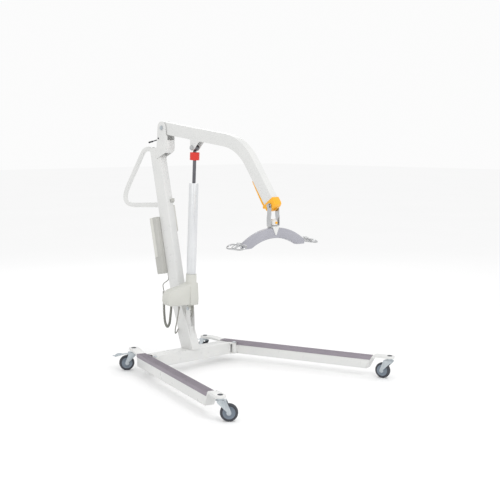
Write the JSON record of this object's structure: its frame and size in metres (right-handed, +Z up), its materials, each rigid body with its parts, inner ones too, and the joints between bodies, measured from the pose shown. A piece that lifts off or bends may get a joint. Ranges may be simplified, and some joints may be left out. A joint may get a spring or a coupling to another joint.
{
  "type": "patient lift hoist",
  "caption": "Mobile patient lift with spreading legs on casters, leaning mast, electric lift boom and a sling spreader bar with wire hook loops.",
  "frame": {"origin": "middle of the footprint on the floor, in the lift's plane of symmetry", "axes": "+X forwards along the boom, +Y to the left of the person pushing, +Z up"},
  "size_m": [1.5252, 1.2082, 1.3115],
  "materials": {
    "frame": "smooth white powder coat",
    "cover_grey": "fine satin light grey",
    "controller_grey": "satin mid grey",
    "pad": "ribbed mauve grey",
    "zinc": "bright zinc plate",
    "steel": "polished",
    "aluminium": "satin anodised",
    "dark_plastic": "fine satin",
    "tyre": "dark grey",
    "wheel_hub": "blue grey",
    "yellow": "glossy yellow orange",
    "red": "glossy red",
    "spreader_grey": "soft grey cover",
    "cable": "taupe grey jacket"
  },
  "bodies": {
    "chassis": {"crossbeam": "frame", "mast_foot": "frame", "actuator_base_pin": "steel", "mast": "frame", "mast_head_yoke": "frame", "boom_pivot_bolt": "steel", "push_handle": "frame", "control_box": "controller_grey", "battery_pack": "cover_grey", "handset": "cover_grey", "handset_hook": "controller_grey", "leg_pivot_pin_left": "steel", "leg_pivot_pin_right": "steel", "handset_lead_lower": "cable", "handset_curly_cord": "cable", "handset_lead_upper": "cable", "lift_motor_cable": "cable", "leg_motor_cable": "cable"},
    "lock_lever": {"lock_lever": "steel"},
    "emergency_stop": {"emergency_stop": "red"},
    "rocker_lift": {"handset_rocker_lift": "dark_plastic"},
    "rocker_legs": {"handset_rocker_legs": "dark_plastic"},
    "boom": {"boom": "frame", "clevis_bolt_head": "steel", "clevis_bolt_nut": "steel", "boom_end_cap": "yellow", "hanger_pin": "steel"},
    "release_lever": {"release_lever": "yellow"},
    "hanger": {"hanger_stirrup": "steel"},
    "spreader": {"spreader_hub": "frame", "spreader_bar": "spreader_grey", "hook_loop_left": "steel", "hook_loop_right": "steel"},
    "hub_button": {"hub_button": "yellow"},
    "latch_left": {"hook_latch_left": "steel"},
    "latch_right": {"hook_latch_right": "steel"},
    "actuator": {"motor_housing": "cover_grey", "actuator_tube": "aluminium"},
    "rod": {"actuator_rod": "steel"},
    "collar": {"emergency_collar": "red"},
    "leg_left": {"leg_left": "frame", "leg_pad_left": "pad", "leg_front_bracket_left": "frame"},
    "leg_right": {"leg_right": "frame", "leg_pad_right": "pad", "leg_front_bracket_right": "frame"},
    "caster_rear_right": {"caster_fork_rear_right": "zinc"},
    "wheel_rear_right": {"caster_hub_rear_right": "wheel_hub", "caster_tyre_rear_right": "tyre"},
    "pedal_rear_right": {"brake_pedal_rear_right": "zinc"},
    "caster_rear_left": {"caster_fork_rear_left": "zinc"},
    "wheel_rear_left": {"caster_hub_rear_left": "wheel_hub", "caster_tyre_rear_left": "tyre"},
    "pedal_rear_left": {"brake_pedal_rear_left": "zinc"},
    "caster_front_right": {"caster_fork_front_right": "zinc"},
    "wheel_front_right": {"caster_hub_front_right": "wheel_hub", "caster_tyre_front_right": "tyre"},
    "caster_front_left": {"caster_fork_front_left": "zinc"},
    "wheel_front_left": {"caster_hub_front_left": "wheel_hub", "caster_tyre_front_left": "tyre"}
  },
  "joints": [
    {"name": "boom_lift", "type": "hinge", "parent": "chassis", "child": "boom", "pos_m": [-0.38598, 0, 1.2775], "axis": [0, -1, 0], "range_deg": [-16, 24]},
    {"name": "actuator_swing", "type": "hinge", "parent": "chassis", "child": "actuator", "pos_m": [-0.18698, 0, 0.322], "axis": [0, -1, 0], "range_deg": [-2, 1.4]},
    {"name": "actuator_stroke", "type": "slide", "parent": "actuator", "child": "rod", "axis": [0.054, 0, 0.9985], "range_m": [-0.071, 0.106]},
    {"name": "collar_lift", "type": "slide", "parent": "rod", "child": "collar", "axis": [0.054, 0, 0.9985], "range_m": [0, 0.004]},
    {"name": "hanger_swing", "type": "hinge", "parent": "boom", "child": "hanger", "pos_m": [0.44028, 0, 0.89994], "axis": [0, 1, 0], "range_deg": [-35, 35]},
    {"name": "spreader_swivel", "type": "hinge", "parent": "hanger", "child": "spreader", "pos_m": [0.44028, 0, 0.80394], "axis": [0, 0, 1], "continuous": true},
    {"name": "hub_button_press", "type": "slide", "parent": "spreader", "child": "hub_button", "axis": [-1, 0, 0], "range_m": [0, 0.003], "stiffness_N_per_m": 400},
    {"name": "release_lever_turn", "type": "hinge", "parent": "boom", "child": "release_lever", "pos_m": [0.39601, 0, 0.8909], "axis": [0, -1, 0], "range_deg": [0, 40]},
    {"name": "latch_left_open", "type": "hinge", "parent": "spreader", "child": "latch_left", "pos_m": [0.44028, 0.22263, 0.73358], "axis": [1, 0, 0], "range_deg": [0, 35], "stiffness_Nm_per_rad": 0.03},
    {"name": "latch_right_open", "type": "hinge", "parent": "spreader", "child": "latch_right", "pos_m": [0.44028, -0.22263, 0.73358], "axis": [-1, 0, 0], "range_deg": [0, 35], "stiffness_Nm_per_rad": 0.03},
    {"name": "lock_lever_turn", "type": "hinge", "parent": "chassis", "child": "lock_lever", "pos_m": [-0.41298, 0, 1.221], "axis": [0, 1, 0], "range_deg": [0, 25]},
    {"name": "emergency_stop_press", "type": "slide", "parent": "chassis", "child": "emergency_stop", "axis": [0.9763, 0, 0.2164], "range_m": [0, 0.004], "stiffness_N_per_m": 800},
    {"name": "rocker_lift_rock", "type": "hinge", "parent": "chassis", "child": "rocker_lift", "pos_m": [-0.38293, 0.0475, 0.8249], "axis": [0.9763, 0, 0.2164], "range_deg": [-5, 5], "stiffness_Nm_per_rad": 0.3},
    {"name": "rocker_legs_rock", "type": "hinge", "parent": "chassis", "child": "rocker_legs", "pos_m": [-0.37383, 0.0475, 0.7839], "axis": [0.9763, 0, 0.2164], "range_deg": [-5, 5], "stiffness_Nm_per_rad": 0.3},
    {"name": "leg_left_spread", "type": "hinge", "parent": "chassis", "child": "leg_left", "pos_m": [-0.14198, 0.274, 0.076], "axis": [0, 0, 1], "range_deg": [-17, 0]},
    {"name": "leg_right_spread", "type": "hinge", "parent": "chassis", "child": "leg_right", "pos_m": [-0.14198, -0.274, 0.076], "axis": [0, 0, 1], "range_deg": [0, 17]},
    {"name": "caster_rear_right_swivel", "type": "hinge", "parent": "leg_right", "child": "caster_rear_right", "pos_m": [-0.35698, -0.249, 0.1], "axis": [0, 0, 1], "continuous": true},
    {"name": "wheel_rear_right_spin", "type": "hinge", "parent": "caster_rear_right", "child": "wheel_rear_right", "pos_m": [-0.37598, -0.28191, 0.04], "axis": [0.866, -0.5, 0], "continuous": true},
    {"name": "pedal_rear_right_press", "type": "hinge", "parent": "caster_rear_right", "child": "pedal_rear_right", "pos_m": [-0.37098, -0.27325, 0.0882], "axis": [0.866, -0.5, 0], "range_deg": [0, 12]},
    {"name": "caster_rear_left_swivel", "type": "hinge", "parent": "leg_left", "child": "caster_rear_left", "pos_m": [-0.35698, 0.249, 0.1], "axis": [0, 0, 1], "continuous": true},
    {"name": "wheel_rear_left_spin", "type": "hinge", "parent": "caster_rear_left", "child": "wheel_rear_left", "pos_m": [-0.39369, 0.25883, 0.04], "axis": [-0.2588, -0.9659, 0], "continuous": true},
    {"name": "pedal_rear_left_press", "type": "hinge", "parent": "caster_rear_left", "child": "pedal_rear_left", "pos_m": [-0.38403, 0.25625, 0.0882], "axis": [-0.2588, -0.9659, 0], "range_deg": [0, 12]},
    {"name": "caster_front_right_swivel", "type": "hinge", "parent": "leg_right", "child": "caster_front_right", "pos_m": [0.70302, -0.57915, 0.1], "axis": [0, 0, 1], "continuous": true},
    {"name": "wheel_front_right_spin", "type": "hinge", "parent": "caster_front_right", "child": "wheel_front_right", "pos_m": [0.72942, -0.55182, 0.04], "axis": [-0.7193, 0.6947, 0], "continuous": true},
    {"name": "caster_front_left_swivel", "type": "hinge", "parent": "leg_left", "child": "caster_front_left", "pos_m": [0.70302, 0.57915, 0.1], "axis": [0, 0, 1], "continuous": true},
    {"name": "wheel_front_left_spin", "type": "hinge", "parent": "caster_front_left", "child": "wheel_front_left", "pos_m": [0.66631, 0.56932, 0.04], "axis": [0.2588, -0.9659, 0], "continuous": true}
  ],
  "couplings": [
    {"joint": "actuator_swing", "follows": "boom_lift", "ratio": -0.0802},
    {"joint": "actuator_stroke", "follows": "boom_lift", "m_per_rad": 0.24867},
    {"joint": "leg_right_spread", "follows": "leg_left_spread", "ratio": -1}
  ]
}
